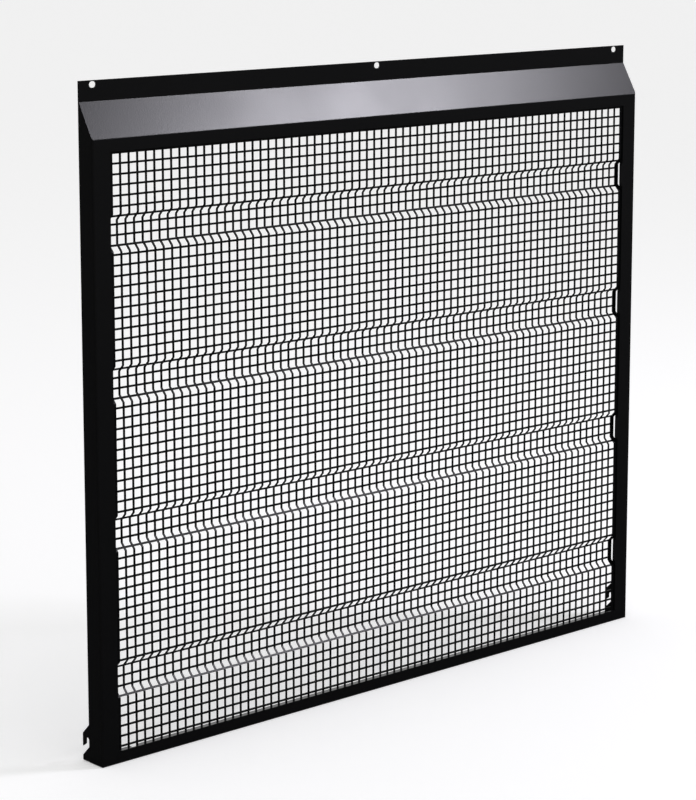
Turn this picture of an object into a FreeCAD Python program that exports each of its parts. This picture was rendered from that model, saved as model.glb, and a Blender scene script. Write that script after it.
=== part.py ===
import FreeCAD, Part
import math
import os

# Guard panel for a machine opening: a folded sheet-steel frame, and a square-hole
# screen with four trapezoidal ribs that is welded behind the frame's window.
#
# Millimetres. X runs along the width, -Y is the front and +Z is up. The origin is
# the middle screw slot, on the plane that seats against the machine.

# Frame sheet
WIDTH = 746.0
FACE_HEIGHT = 601.0        # front face, from its bottom edge to the sloping top
SLOPE_RISE = 33.5          # height of the sloping top
FLANGE_HEIGHT = 19.5       # screw flange above the sloping top
SEAT_DEPTH = 21.0          # front face to the seating plane
FRAME_SHEET = 1.5
FRAME_BEND = 0.5           # inside radius of the frame's bends

# Window in the front face
SIDE_BORDER = 20.0
BOTTOM_BORDER = 12.5
TOP_BORDER = 12.0
TAB_REACH = 3.5            # the tabs that cover the open rib ends at the right
TAB_TIP = 18.5
TAB_BASE = 26.5

# Screw flange
SCREW_SLOT_WIDTH = 6.0
SCREW_SLOT_LENGTH = 8.0    # end to end, along the flange
SCREW_COUNT = 3
SCREW_TO_EDGE = 4.0        # slot centre below the flange's top edge
SCREW_TO_END = 16.0        # slot centre to the flange's end

# Hook ears at the foot of both side walls, and the floor between them
EAR_REACH = 10.0           # beyond the seating plane
EAR_TOP = 38.0             # heights here are above the panel's bottom edge
EAR_FOOT = 1.0
HOOK_TIP = 15.0
HOOK_TIP_BEVEL = 3.5
SLOT_WIDTH = 5.2
SLOT_TOP = 25.0
SLOT_MOUTH = 16.0
NOTCH_TO_END = 60.0        # drain notch in the floor's rear edge
NOTCH_WIDTH = 8.0
NOTCH_DEPTH = 6.0

# Screen sheet
SCREEN_SHEET = 1.0
SCREEN_BEND = 1.0          # inside radius of the rib bends
SCREEN_LAP = 1.5           # the screen's side edges behind the side borders
FIRST_ROW = 18.5           # centre of the top row of holes below the sloping top
HOLE = 8.0
PITCH = 10.0
EDGE_PLAIN = 9.0           # unpunched edge at the top
LEAST_PLAIN = 4.0          # least unpunched edge at the sides and the bottom
FLOOR_GAP = 1.0            # screen to the frame's floor
RIB_COUNT = 4
RIB_FIRST = 88.4           # centre of the top rib below the sloping top
RIB_SPACING = 143.4
RIB_DEPTH = 6.2
RIB_FLOOR = 22.7
RIB_RUN = 6.5              # height of each sloping flank

# The real screen has every hole by itself. Here this many neighbours in a row are
# joined into one window, to keep the solid light. Set to 1, it gives the real sheet.
HOLES_JOINED = 18

# Heights that both sheets share
TOP = SCREW_TO_EDGE
FLANGE_FOOT = TOP - FLANGE_HEIGHT
FACE_TOP = FLANGE_FOOT - SLOPE_RISE
BOTTOM = FACE_TOP - FACE_HEIGHT

HALF = WIDTH / 2
CLEAR = 1.0                # how far a cutter runs past what it cuts
NO_LENGTH = 1e-6           # a piece of an outline shorter than this is left out


X_AXIS = FreeCAD.Vector(1, 0, 0)
Y_AXIS = FreeCAD.Vector(0, 1, 0)
Z_AXIS = FreeCAD.Vector(0, 0, 1)


# ------------------------------------------------- outlines and folded sections

def side_view(y, z):
    return FreeCAD.Vector(0, y, z)


def front_view(x, z):
    return FreeCAD.Vector(x, 0, z)


def plan_view(x, y):
    return FreeCAD.Vector(x, y, 0)


def fold(points, radii):
    """Pieces of a line through the points: (start point, heading, length, turn).

    Each inner corner becomes an arc of its radius. Turn is 0 on a straight piece.
    """
    pieces = []
    place = points[0]
    for corner, after, radius in zip(points[1:-1], points[2:], radii):
        heading = math.atan2(corner[1] - place[1], corner[0] - place[0])
        turn = math.atan2(after[1] - corner[1], after[0] - corner[0]) - heading
        turn = math.remainder(turn, 2 * math.pi)
        setback = radius * math.tan(abs(turn) / 2)
        pieces.append((place, heading, math.dist(place, corner) - setback, 0.0))
        place = travel(pieces[-1], pieces[-1][2])
        if radius:
            pieces.append((place, heading, radius * abs(turn), turn))
            place = travel(pieces[-1], pieces[-1][2])
    end = points[-1]
    heading = math.atan2(end[1] - place[1], end[0] - place[0])
    pieces.append((place, heading, math.dist(place, end), 0.0))
    return [piece for piece in pieces if piece[2] > NO_LENGTH]


def travel(piece, distance, offset=0.0):
    """Point this far along a piece, and this far to the left of it."""
    (u, v), heading, length, turn = piece
    if turn:
        radius = length / turn
        now = heading + distance / radius
        u += radius * (math.sin(now) - math.sin(heading))
        v -= radius * (math.cos(now) - math.cos(heading))
        heading = now
    else:
        u += distance * math.cos(heading)
        v += distance * math.sin(heading)
    return (u - offset * math.sin(heading), v + offset * math.cos(heading))


def piece_edge(piece, start, end, offset, view):
    first = view(*travel(piece, start, offset))
    last = view(*travel(piece, end, offset))
    if not piece[3]:
        return Part.makeLine(first, last)
    middle = view(*travel(piece, (start + end) / 2, offset))
    return Part.Arc(first, middle, last).toShape()


def outline(points, view, radii=()):
    """Face inside a line that closes straight from its last point to its first.

    The radii round its inner corners in turn, and those left over stay sharp.
    """
    radii = list(radii) + [0] * (len(points) - 2 - len(radii))
    edges = [piece_edge(piece, 0, piece[2], 0, view) for piece in fold(points, radii)]
    edges.append(Part.makeLine(view(*points[-1]), view(*points[0])))
    return Part.Face(Part.Wire(edges))


def between(face, start, end, axis):
    """Solid of the face from one distance to another along an axis."""
    moved = face.copy()
    moved.translate(axis * start)
    return moved.extrude(axis * (end - start))


# ---------------------------------------------------------------- frame

def slope_height(y, inset=0.0):
    """Height of the sloping top at a depth, on a face this far inside the sheet."""
    run = SEAT_DEPTH - FRAME_SHEET
    drop = inset * math.hypot(run, SLOPE_RISE) / run
    return FACE_TOP + (y + SEAT_DEPTH) * SLOPE_RISE / run - drop


def rounded_foot(inset, front, back):
    """Block as wide as the frame, with the rounded corners of its floor."""
    half = HALF - inset
    low = BOTTOM + inset
    high = TOP + CLEAR
    bend = FRAME_BEND + FRAME_SHEET - inset
    corners = [(-half, high), (-half, low), (half, low), (half, high)]
    return between(outline(corners, front_view, [bend, bend]), front, back, Y_AXIS)


def rounded_front(inset, back):
    """Block as deep as the frame, with its rounded upright corners."""
    half = HALF - inset
    front = inset - SEAT_DEPTH
    bend = FRAME_BEND + FRAME_SHEET - inset
    corners = [(-half, back), (-half, front), (half, front), (half, back)]
    return between(outline(corners, plan_view, [bend, bend]), BOTTOM, TOP + CLEAR, Z_AXIS)


def tray(section, inset, back):
    """The section across the frame's width, with the corners of its side walls."""
    half = HALF - inset
    body = between(section, -half, half, X_AXIS)
    body = body.common(rounded_front(inset, back))
    return body.common(rounded_foot(inset, -SEAT_DEPTH, back))


def tray_outside():
    outer = FRAME_BEND + FRAME_SHEET
    section = outline([
        (0, BOTTOM),
        (-SEAT_DEPTH, BOTTOM),
        (-SEAT_DEPTH, FACE_TOP),
        (-FRAME_SHEET, FLANGE_FOOT),
        (-FRAME_SHEET, TOP),
        (0, TOP),
    ], side_view, [outer, outer, FRAME_BEND])
    return tray(section, 0, 0)


def tray_hollow():
    """What the sheet folds round. It runs out past the open back."""
    outer = FRAME_BEND + FRAME_SHEET
    front = FRAME_SHEET - SEAT_DEPTH
    section = outline([
        (CLEAR, BOTTOM + FRAME_SHEET),
        (front, BOTTOM + FRAME_SHEET),
        (front, slope_height(front, FRAME_SHEET)),
        (0, slope_height(0, FRAME_SHEET)),
        (0, TOP + CLEAR),
        (CLEAR, TOP + CLEAR),
    ], side_view, [FRAME_BEND, FRAME_BEND, outer])
    return tray(section, FRAME_SHEET, CLEAR)


def floor_lip():
    """The floor's rear strip, which reaches as far back as the ears."""
    end = HALF - FRAME_SHEET - FRAME_BEND
    corner = FreeCAD.Vector(-end, -FRAME_SHEET, BOTTOM)
    lip = Part.makeBox(2 * end, EAR_REACH + FRAME_SHEET, FRAME_SHEET, corner)
    return lip.cut(floor_notch())


def floor_notch():
    """Cutter for the drain notch, with 45 degree corners at its closed end."""
    centre = NOTCH_TO_END - HALF
    half = NOTCH_WIDTH / 2
    bottom = EAR_REACH - NOTCH_DEPTH
    face = outline([
        (centre - half, EAR_REACH + CLEAR),
        (centre - half, bottom + half / 2),
        (centre - half / 2, bottom),
        (centre + half / 2, bottom),
        (centre + half, bottom + half / 2),
        (centre + half, EAR_REACH + CLEAR),
    ], plan_view)
    return between(face, BOTTOM - CLEAR, BOTTOM + FRAME_SHEET + CLEAR, Z_AXIS)


def ear(side):
    """A hook that drops over a ledge, with a lead-in below its round-topped slot."""
    slot_round = SLOT_WIDTH / 2
    face = outline([
        (-FRAME_SHEET, BOTTOM + EAR_TOP),
        (0, BOTTOM + EAR_TOP),
        (EAR_REACH, BOTTOM + EAR_TOP - EAR_REACH),
        (EAR_REACH, BOTTOM + HOOK_TIP),
        (SLOT_WIDTH, BOTTOM + HOOK_TIP + HOOK_TIP_BEVEL),
        (SLOT_WIDTH, BOTTOM + SLOT_TOP),
        (0, BOTTOM + SLOT_TOP),
        (0, BOTTOM + SLOT_MOUTH),
        (EAR_REACH, BOTTOM + SLOT_MOUTH - EAR_REACH),
        (EAR_REACH, BOTTOM + EAR_FOOT),
        (-FRAME_SHEET, BOTTOM + EAR_FOOT),
    ], side_view, [0, 0, 0, 0, slot_round, slot_round])
    plate = between(face, side * (HALF - FRAME_SHEET), side * HALF, X_AXIS)
    return plate.common(rounded_foot(0, -FRAME_SHEET, EAR_REACH))


def rib_centres():
    return [FACE_TOP - RIB_FIRST - n * RIB_SPACING for n in range(RIB_COUNT)]


def through_front(points):
    """Cutter or tab of this outline, through the front face."""
    front = -SEAT_DEPTH
    return between(outline(points, front_view), front - CLEAR, front + FRAME_SHEET + CLEAR, Y_AXIS)


def tab(height):
    """What stays of the window's right side at a rib, to cover the rib's open end."""
    edge = HALF - SIDE_BORDER
    tip = edge - TAB_REACH
    root = edge + CLEAR
    return through_front([
        (root, height - TAB_BASE / 2),
        (edge, height - TAB_BASE / 2),
        (tip, height - TAB_TIP / 2),
        (tip, height + TAB_TIP / 2),
        (edge, height + TAB_BASE / 2),
        (root, height + TAB_BASE / 2),
    ])


def window():
    half = HALF - SIDE_BORDER
    low = BOTTOM + BOTTOM_BORDER
    high = FACE_TOP - TOP_BORDER
    opening = through_front([(-half, low), (half, low), (half, high), (-half, high)])
    return opening.cut([tab(height) for height in rib_centres()])


def slot_cutter(left, right):
    """Cutter through the flange, round about both of these ends."""
    radius = SCREW_SLOT_WIDTH / 2
    up = FreeCAD.Vector(0, 0, radius)
    ends = [front_view(left, 0), front_view(right, 0)]
    edges = [
        Part.makeLine(ends[0] + up, ends[1] + up),
        Part.Arc(ends[1] + up, ends[1] + X_AXIS * radius, ends[1] - up).toShape(),
        Part.makeLine(ends[1] - up, ends[0] - up),
        Part.Arc(ends[0] - up, ends[0] - X_AXIS * radius, ends[0] + up).toShape(),
    ]
    return between(Part.Face(Part.Wire(edges)), -FRAME_SHEET - CLEAR, CLEAR, Y_AXIS)


def screw_slots():
    """Cutters for the slots, which lie along the flange and have round ends."""
    straight = SCREW_SLOT_LENGTH - SCREW_SLOT_WIDTH
    span = WIDTH - 2 * SCREW_TO_END
    slots = []
    for n in range(SCREW_COUNT):
        centre = span * (n / (SCREW_COUNT - 1) - 0.5)
        slots.append(slot_cutter(centre - straight / 2, centre + straight / 2))
    return slots


def make_frame():
    sheet = tray_outside().cut(tray_hollow())
    sheet = sheet.fuse([floor_lip(), ear(-1), ear(1)]).removeSplitter()
    return sheet.cut([window()] + screw_slots())


# ---------------------------------------------------------------- screen

def strip(pieces, start, end, half):
    """Section of a folded sheet between two developed lengths, half to each side."""
    runs = []
    passed = 0.0
    for piece in pieces:
        begin = max(start - passed, 0.0)
        finish = min(end - passed, piece[2])
        if finish - begin > NO_LENGTH:
            runs.append((piece, begin, finish))
        passed += piece[2]
    back = [piece_edge(*run, half, side_view) for run in runs]
    front = [piece_edge(*run, -half, side_view) for run in runs]
    first = Part.makeLine(front[0].firstVertex().Point, back[0].firstVertex().Point)
    last = Part.makeLine(back[-1].lastVertex().Point, front[-1].lastVertex().Point)
    return Part.Face(Part.Wire([first] + back + [last] + front[::-1]))


def screen_centreline():
    """The screen's middle surface from top to bottom, with its ribs pressed back."""
    flat = FRAME_SHEET + SCREEN_SHEET / 2 - SEAT_DEPTH
    deep = flat + RIB_DEPTH
    points = [(flat, FACE_TOP - FIRST_ROW + HOLE / 2 + EDGE_PLAIN)]
    for centre in rib_centres():
        points += [
            (flat, centre + RIB_FLOOR / 2 + RIB_RUN),
            (deep, centre + RIB_FLOOR / 2),
            (deep, centre - RIB_FLOOR / 2),
            (flat, centre - RIB_FLOOR / 2 - RIB_RUN),
        ]
    points.append((flat, BOTTOM + FRAME_SHEET + FLOOR_GAP))
    return fold(points, [SCREEN_BEND + SCREEN_SHEET / 2] * (len(points) - 2))


def hole_rows(length):
    """Developed distance of each row of holes from the screen's top edge."""
    count = int((length - EDGE_PLAIN - HOLE - LEAST_PLAIN) // PITCH) + 1
    return [EDGE_PLAIN + HOLE / 2 + n * PITCH for n in range(count)]


def hole_runs(width):
    """Left edge and width of each window along a row."""
    count = int((width - 2 * LEAST_PLAIN - HOLE) // PITCH) + 1
    left = -((count - 1) * PITCH + HOLE) / 2
    runs = []
    for n in range(0, count, HOLES_JOINED):
        joined = min(HOLES_JOINED, count - n)
        runs.append((left + n * PITCH, (joined - 1) * PITCH + HOLE))
    return runs


def make_screen():
    pieces = screen_centreline()
    length = sum(piece[2] for piece in pieces)
    width = WIDTH - 2 * SIDE_BORDER + 2 * SCREEN_LAP
    sheet = between(strip(pieces, 0, length, SCREEN_SHEET / 2), -width / 2, width / 2, X_AXIS)
    punches = []
    for row in hole_rows(length):
        section = strip(pieces, row - HOLE / 2, row + HOLE / 2, SCREEN_SHEET)
        punches += [between(section, left, left + run, X_AXIS) for left, run in hole_runs(width)]
    return sheet.cut(punches)


def save(node, shape):
    shape.exportStep("parts/%s.step" % node)
    print(node, shape.ShapeType, len(shape.Solids), "solid", len(shape.Faces), "faces")


os.makedirs("parts", exist_ok=True)
save("frame", make_frame())
save("screen", make_screen())
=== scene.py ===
import math

import bmesh
import bpy
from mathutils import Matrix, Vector


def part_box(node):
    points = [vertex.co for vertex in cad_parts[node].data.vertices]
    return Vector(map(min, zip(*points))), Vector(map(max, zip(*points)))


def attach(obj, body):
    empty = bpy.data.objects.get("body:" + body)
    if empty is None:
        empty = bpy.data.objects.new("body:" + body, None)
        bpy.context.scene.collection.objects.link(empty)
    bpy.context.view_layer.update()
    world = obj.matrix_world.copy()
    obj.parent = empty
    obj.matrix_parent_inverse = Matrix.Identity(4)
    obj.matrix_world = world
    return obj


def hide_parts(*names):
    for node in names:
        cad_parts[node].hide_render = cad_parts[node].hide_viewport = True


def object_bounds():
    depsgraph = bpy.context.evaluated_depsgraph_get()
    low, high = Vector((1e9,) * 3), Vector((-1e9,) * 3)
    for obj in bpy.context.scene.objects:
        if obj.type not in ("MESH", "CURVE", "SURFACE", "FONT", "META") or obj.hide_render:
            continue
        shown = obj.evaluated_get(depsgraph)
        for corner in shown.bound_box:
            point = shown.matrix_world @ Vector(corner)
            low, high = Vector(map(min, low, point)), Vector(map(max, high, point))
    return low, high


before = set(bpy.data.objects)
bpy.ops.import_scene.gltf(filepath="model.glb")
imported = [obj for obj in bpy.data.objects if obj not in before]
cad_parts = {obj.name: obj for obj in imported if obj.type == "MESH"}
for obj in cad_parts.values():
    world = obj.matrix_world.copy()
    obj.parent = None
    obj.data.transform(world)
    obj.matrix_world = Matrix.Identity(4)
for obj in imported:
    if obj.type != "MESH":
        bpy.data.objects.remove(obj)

# Guard panel: the looks of its folded frame and of its square-hole screen. The frame is
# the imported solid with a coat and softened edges. The screen is made again here with
# every hole of the real sheet, because its solid has neighbouring holes joined.
#
# Metres, +Z up, -Y to the front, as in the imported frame.

CAD_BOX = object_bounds()
MM = 0.001

# ------------------------------------------------------------ sizes of the screen
SHEET = 1.0 * MM               # screen sheet
BEND = 1.0 * MM                # inside radius of its bends
HOLE = 8.0 * MM                # square hole
PITCH = 10.0 * MM
EDGE_PLAIN = 9.0 * MM          # unpunched edge at the top
LEAST_PLAIN = 4.0 * MM         # least unpunched edge at the sides and the bottom
RIB_COUNT = 4
RIB_FIRST = 82.9 * MM          # centre of the top rib below the sheet's top edge
RIB_SPACING = 143.4 * MM
RIB_FLOOR = 22.7 * MM
RIB_RUN = 6.5 * MM             # height of each sloping flank
BEND_STEPS = 4                 # flats that stand for one bend
SMOOTH_BELOW = 30              # degrees between faces that shade as one

# ------------------------------------------------------------ coat
COAT_EDGE = 0.35 * MM          # how far the baked coat rounds a cut edge
EDGE_SHARPER_THAN = 35         # degrees, so that cut edges are rounded and bends are left
GRAIN = 1.6 * MM               # grit of the texture, see black_powder_coat
GRIT_HEIGHT = 0.1 * MM
SPRAY = 60.0 * MM              # width of the patches where the coat went on thicker
FRAME_SHEEN = 0.5
SCREEN_SHADE_SHEEN = 0.25            # painted shade: less than the frame's, so that the screen's copy of the same coat looks darker, standing in for the shade on the recessed screen

# ------------------------------------------------------------ camera
CAMERA_HEADING = -42.15        # degrees round from the front, towards the left end
CAMERA_TILT = 9.58             # degrees down
CAMERA_PLACE = Vector((-1.751, -1.892, 0.1895))
CAMERA_LENS = 114.2
CAMERA_SHIFT = -0.12           # looks down the panel, so that its uprights stay nearly upright

# ------------------------------------------------------------ stage and light
FLOOR_FRONT = 1.4              # reach of the floor from the panel, to the front
FLOOR_BACK = 14.0
FLOOR_SIDE = 12.0
FLOOR_FIBRE = 4.0 * MM
FLOOR_GLOW = 0.30              # white that the camera sees on top of the lit paper

SLOPE_MIDDLE = (0.0, -0.011, -0.032)
BACKDROP_SIDE = (0.66, 0.74, 0.1)    # from the panel towards the white backdrop
BACKDROP_FROM = 0.55           # cosine to BACKDROP_SIDE where the mirrored white begins
BACKDROP_FULL = 0.85           # and where it is full
ROOM_MIRRORED = 0.07           # what the coat mirrors of the rest of the room
ROOM_LIGHT = 0.45              # even light that reaches the panel from all round


def colour(code):
    """sRGB hex to linear RGBA."""
    channels = [int(code[n:n + 2], 16) / 255 for n in (1, 3, 5)]
    linear = [c / 12.92 if c <= 0.04045 else ((c + 0.055) / 1.055) ** 2.4 for c in channels]
    return (*linear, 1.0)


def add(tree, kind, values=None, **settings):
    """Adds a node. values are its inputs: a socket to link from, or a plain value."""
    node = tree.nodes.new(kind)
    for name, value in settings.items():
        setattr(node, name, value)
    for name, value in (values or {}).items():
        if isinstance(value, bpy.types.NodeSocket):
            tree.links.new(value, node.inputs[name])
        else:
            node.inputs[name].default_value = value
    return node


def material(name):
    made = bpy.data.materials.new(name)
    made.use_nodes = True
    made.node_tree.nodes.clear()
    return made, made.node_tree


# ------------------------------------------------------------ the folded screen

def travel(piece, distance):
    """Point this far along a piece of the fold, and the heading there."""
    (y, z), heading, length, turn = piece
    if not turn:
        return y + distance * math.cos(heading), z + distance * math.sin(heading), heading
    radius = length / turn
    now = heading + distance / radius
    y += radius * (math.sin(now) - math.sin(heading))
    z -= radius * (math.cos(now) - math.cos(heading))
    return y, z, now


def fold(points, radius):
    """Pieces of a folded line: (start point, heading, length, turn)."""
    pieces = []
    place = points[0]
    for corner, after in zip(points[1:-1], points[2:]):
        heading = math.atan2(corner[1] - place[1], corner[0] - place[0])
        turn = math.atan2(after[1] - corner[1], after[0] - corner[0]) - heading
        setback = radius * math.tan(abs(turn) / 2)
        pieces.append((place, heading, math.dist(place, corner) - setback, 0.0))
        place = travel(pieces[-1], pieces[-1][2])[:2]
        pieces.append((place, heading, radius * abs(turn), turn))
        place = travel(pieces[-1], pieces[-1][2])[:2]
    end = points[-1]
    heading = math.atan2(end[1] - place[1], end[0] - place[0])
    pieces.append((place, heading, math.dist(place, end), 0.0))
    return pieces


def screen_fold(low, high):
    """The screen's middle surface, from its top edge down past the four ribs."""
    flat = low.y + SHEET / 2
    deep = high.y - SHEET / 2
    points = [(flat, high.z)]
    for n in range(RIB_COUNT):
        centre = high.z - RIB_FIRST - n * RIB_SPACING
        points += [
            (flat, centre + RIB_FLOOR / 2 + RIB_RUN),
            (deep, centre + RIB_FLOOR / 2),
            (deep, centre - RIB_FLOOR / 2),
            (flat, centre - RIB_FLOOR / 2 - RIB_RUN),
        ]
    points.append((flat, low.z))
    return fold(points, BEND + SHEET / 2)


def hole_spans(length, first=None):
    """Start and end of every hole along a length, from first on or else centred."""
    room = length - LEAST_PLAIN - (first or LEAST_PLAIN)
    count = int((room - HOLE + MM / 1000) // PITCH) + 1
    start = first or (length - (count - 1) * PITCH - HOLE) / 2
    return [(start + n * PITCH, start + n * PITCH + HOLE) for n in range(count)]


def along(pieces, distance):
    """Point this far along the whole fold, and the heading there."""
    for piece in pieces[:-1]:
        if distance <= piece[2]:
            return travel(piece, distance)
        distance -= piece[2]
    return travel(pieces[-1], distance)


def cut_lines(length, spans, extra=()):
    """Every distance where the sheet's mesh has a line, and whether a hole follows it."""
    marks = sorted({round(d, 7) for d in [0.0, length, *extra, *(d for s in spans for d in s)]})
    holes = [any(a < (d + e) / 2 < b for a, b in spans) for d, e in zip(marks, marks[1:])]
    return marks, holes


def perforated_screen():
    """The screen with every hole punched, as one closed skin."""
    low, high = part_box("screen")
    pieces = screen_fold(low, high)
    length = sum(piece[2] for piece in pieces)
    width = high.x - low.x

    bends = []                 # lines across each bend, that turn it in flats
    passed = 0.0
    for piece in pieces:
        if piece[3]:
            bends += [passed + piece[2] * n / BEND_STEPS for n in range(BEND_STEPS + 1)]
        passed += piece[2]
    rows, row_holes = cut_lines(length, hole_spans(length, EDGE_PLAIN), bends)
    columns, column_holes = cut_lines(width, hole_spans(width))

    stations = [along(pieces, mark) for mark in rows]

    mesh = bmesh.new()
    corners = {}

    def corner(row, column, side):
        """The skin's vertex at a crossing of lines, on the front (-1) or back (1)."""
        key = (row, column, side)
        if key not in corners:
            y, z, heading = stations[row]
            reach = side * SHEET / 2
            place = (low.x + columns[column], y - reach * math.sin(heading),
                     z + reach * math.cos(heading))
            corners[key] = mesh.verts.new(place)
        return corners[key]

    def solid(row, column):
        inside = 0 <= row < len(row_holes) and 0 <= column < len(column_holes)
        return inside and not (row_holes[row] and column_holes[column])

    for row in range(len(row_holes)):
        for column in range(len(column_holes)):
            if not solid(row, column):
                continue
            ring = [(row, column), (row + 1, column), (row + 1, column + 1), (row, column + 1)]
            mesh.faces.new([corner(*place, -1) for place in ring])
            mesh.faces.new([corner(*place, 1) for place in reversed(ring)])
            beside = [(row, column - 1), (row + 1, column), (row, column + 1), (row - 1, column)]
            for start, end, neighbour in zip(ring, ring[1:] + ring[:1], beside):
                if not solid(*neighbour):
                    mesh.faces.new([corner(*end, -1), corner(*start, -1),
                                    corner(*start, 1), corner(*end, 1)])
    mesh.normal_update()
    data = bpy.data.meshes.new("perforated_screen")
    mesh.to_mesh(data)
    mesh.free()
    data.shade_smooth()
    data.set_sharp_from_angle(angle=math.radians(SMOOTH_BELOW))
    sheet = bpy.data.objects.new("perforated_screen", data)
    bpy.context.collection.objects.link(sheet)
    return sheet


# ------------------------------------------------------------ materials

def black_powder_coat(name, seed, sheen):
    """Fine-texture polyester powder coat, baked on phosphated steel.

    The grit melts into a skin of small hills, so that a near-black surface turns grey
    and speckled where it mirrors a lamp, and stays black elsewhere. The real grit is
    0.3 mm. It is drawn coarser, at GRAIN, so that it shows.
    """
    made, tree = material(name)
    place = add(tree, "ShaderNodeTexCoord").outputs["Object"]
    grit = add(tree, "ShaderNodeTexNoise", {
        "Vector": place, "W": seed, "Scale": 1 / GRAIN, "Detail": 3.0, "Roughness": 0.6,
    }, noise_dimensions="4D").outputs["Fac"]
    spray = add(tree, "ShaderNodeTexNoise", {
        "Vector": place, "W": seed, "Scale": 1 / SPRAY, "Detail": 2.0,
    }, noise_dimensions="4D").outputs["Fac"]
    shade = add(tree, "ShaderNodeMix", {
        "Factor": grit, "A": colour("#060607"), "B": colour("#0E0E10"),
    }, data_type="RGBA").outputs["Result"]
    rough = add(tree, "ShaderNodeMapRange", {
        "Value": spray, "To Min": 0.28, "To Max": 0.33,
    }).outputs["Result"]
    hills = add(tree, "ShaderNodeBump", {
        "Height": grit, "Strength": 0.55, "Distance": GRIT_HEIGHT,
    }).outputs["Normal"]
    coat = add(tree, "ShaderNodeBsdfPrincipled", {
        "Base Color": shade, "Roughness": rough, "IOR": 1.5, "Normal": hills,
        "Specular IOR Level": sheen,
    })
    add(tree, "ShaderNodeOutputMaterial", {"Surface": coat.outputs["BSDF"]})
    return made


def floor_paper():
    """Matt white background paper: pale, with no shine.

    It is lit and shaded as paper, and the camera sees FLOOR_GLOW on top of that. A glossy
    surface does not mirror the pale paper: to glossy rays it is a dark grey.
    """
    made, tree = material("floor_paper")
    place = add(tree, "ShaderNodeTexCoord").outputs["Object"]
    fibre = add(tree, "ShaderNodeTexNoise", {
        "Vector": place, "Scale": 1 / FLOOR_FIBRE, "Detail": 2.0,
    }).outputs["Fac"]
    shade = add(tree, "ShaderNodeMix", {
        "Factor": fibre, "A": colour("#EEEEEE"), "B": colour("#F0F0F0"),
    }, data_type="RGBA").outputs["Result"]
    paper = add(tree, "ShaderNodeBsdfDiffuse", {"Color": shade})
    ray = add(tree, "ShaderNodeLightPath").outputs
    seen = add(tree, "ShaderNodeMath", {
        0: ray["Is Camera Ray"], 1: ray["Is Transmission Ray"],
    }, operation="MAXIMUM").outputs["Value"]
    glow = add(tree, "ShaderNodeMath", {
        0: seen, 1: FLOOR_GLOW,
    }, operation="MULTIPLY").outputs["Value"]
    white = add(tree, "ShaderNodeEmission", {"Color": colour("#FFFFFF"), "Strength": glow})
    both = add(tree, "ShaderNodeAddShader", {0: paper.outputs["BSDF"], 1: white.outputs["Emission"]})
    dark = add(tree, "ShaderNodeBsdfDiffuse", {"Color": colour("#3A3A3A")})
    mirrored = add(tree, "ShaderNodeMixShader", {
        "Fac": ray["Is Glossy Ray"], 1: both.outputs["Shader"], 2: dark.outputs["BSDF"],
    })
    add(tree, "ShaderNodeOutputMaterial", {"Surface": mirrored.outputs["Shader"]})
    return made


# ------------------------------------------------------------ pieces

def dress(piece, coat):
    piece.data.materials.clear()
    piece.data.materials.append(coat)


def soften_edges(piece):
    """Rounds the sheet's cut edges a little, as a baked coat does."""
    edge = piece.modifiers.new("coat_edge", "BEVEL")
    edge.width = COAT_EDGE
    edge.segments = 2
    edge.limit_method = "ANGLE"
    edge.angle_limit = math.radians(EDGE_SHARPER_THAN)


folded_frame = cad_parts["frame"]
dress(folded_frame, black_powder_coat("black_powder_coat_frame", 1.0, FRAME_SHEEN))
soften_edges(folded_frame)

screen = perforated_screen()
# The screen's coat has less sheen than the frame's: painted shade for the recessed screen.
dress(screen, black_powder_coat("black_powder_coat_screen", 2.0, SCREEN_SHADE_SHEEN))
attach(screen, "root")
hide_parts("screen")


# ------------------------------------------------------------ stage, lamps, camera

def lay_floor(low):
    mesh = bpy.data.meshes.new("floor")
    corners = [(-FLOOR_SIDE, -FLOOR_FRONT), (FLOOR_SIDE, -FLOOR_FRONT),
               (FLOOR_SIDE, FLOOR_BACK), (-FLOOR_SIDE, FLOOR_BACK)]
    mesh.from_pydata([(x, y, low.z) for x, y in corners], [], [(0, 1, 2, 3)])
    floor = bpy.data.objects.new("floor", mesh)
    bpy.context.collection.objects.link(floor)
    dress(floor, floor_paper())


def sun(name, towards, strength, size, shade):
    """A soft lamp far off. towards points from the panel to the lamp, size is its spread."""
    lamp = bpy.data.lights.new(name, "SUN")
    lamp.energy = strength
    lamp.angle = math.radians(size)
    lamp.color = colour(shade)[:3]
    holder = bpy.data.objects.new(name, lamp)
    holder.rotation_euler = Vector(towards).to_track_quat("Z", "Y").to_euler()
    bpy.context.collection.objects.link(holder)


def softbox(name, aim, towards, distance, side, strength, shade):
    """A square soft lamp near the panel. strength is the light that reaches aim from it."""
    lamp = bpy.data.lights.new(name, "AREA")
    lamp.size = side
    lamp.energy = strength * math.pi * distance ** 2
    lamp.color = colour(shade)[:3]
    holder = bpy.data.objects.new(name, lamp)
    out = Vector(towards).normalized()
    holder.location = Vector(aim) + out * distance
    holder.rotation_euler = out.to_track_quat("Z", "Y").to_euler()
    bpy.context.collection.objects.link(holder)


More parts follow.
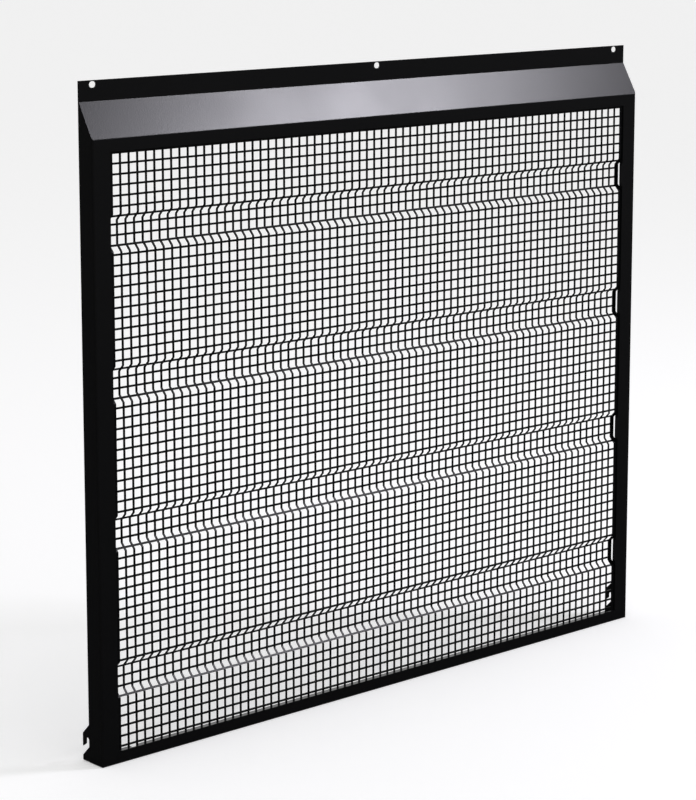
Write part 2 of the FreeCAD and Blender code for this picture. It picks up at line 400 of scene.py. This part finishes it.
def room_light():
    """White to the camera all round. The coat mirrors white on one side only, where the
    backdrop stands, and a dim room elsewhere."""
    world = bpy.data.worlds.new("room")
    world.use_nodes = True
    tree = world.node_tree
    tree.nodes.clear()
    ray = add(tree, "ShaderNodeLightPath").outputs
    towards = add(tree, "ShaderNodeTexCoord").outputs["Generated"]
    facing = add(tree, "ShaderNodeVectorMath", {
        0: towards, 1: BACKDROP_SIDE,
    }, operation="DOT_PRODUCT").outputs["Value"]
    mirrored = add(tree, "ShaderNodeMapRange", {
        "Value": facing, "From Min": BACKDROP_FROM, "From Max": BACKDROP_FULL,
        "To Min": ROOM_MIRRORED, "To Max": 1.0,
    }).outputs["Result"]
    shone = add(tree, "ShaderNodeMix", {
        "Factor": ray["Is Glossy Ray"], "A": ROOM_LIGHT, "B": mirrored,
    }, data_type="FLOAT").outputs["Result"]
    seen = add(tree, "ShaderNodeMath", {
        0: ray["Is Camera Ray"], 1: ray["Is Transmission Ray"],
    }, operation="MAXIMUM").outputs["Value"]
    level = add(tree, "ShaderNodeMix", {
        "Factor": seen, "A": shone, "B": 1.0,
    }, data_type="FLOAT").outputs["Result"]
    sky = add(tree, "ShaderNodeBackground", {"Color": colour("#FFFFFF"), "Strength": level})
    add(tree, "ShaderNodeOutputWorld", {"Surface": sky.outputs["Background"]})
    bpy.context.scene.world = world


def set_camera():
    lens = bpy.data.cameras.new("camera")
    lens.lens = CAMERA_LENS
    lens.shift_y = CAMERA_SHIFT
    camera = bpy.data.objects.new("camera", lens)
    camera.location = CAMERA_PLACE
    camera.rotation_euler = (math.radians(90 - CAMERA_TILT), 0, math.radians(CAMERA_HEADING))
    bpy.context.collection.objects.link(camera)
    bpy.context.scene.camera = camera


lay_floor(CAD_BOX[0])
sun("overhead_softbox", towards=(-0.10, -0.20, 0.97), strength=0.7, size=50, shade="#FFFFFF")
softbox("slope_lamp", aim=SLOPE_MIDDLE, towards=(0.66, -0.48, 0.60), distance=2.6, side=0.4,
        strength=1.1, shade="#F7F5FF")
room_light()
set_camera()
bpy.context.scene.view_settings.view_transform = "Standard"
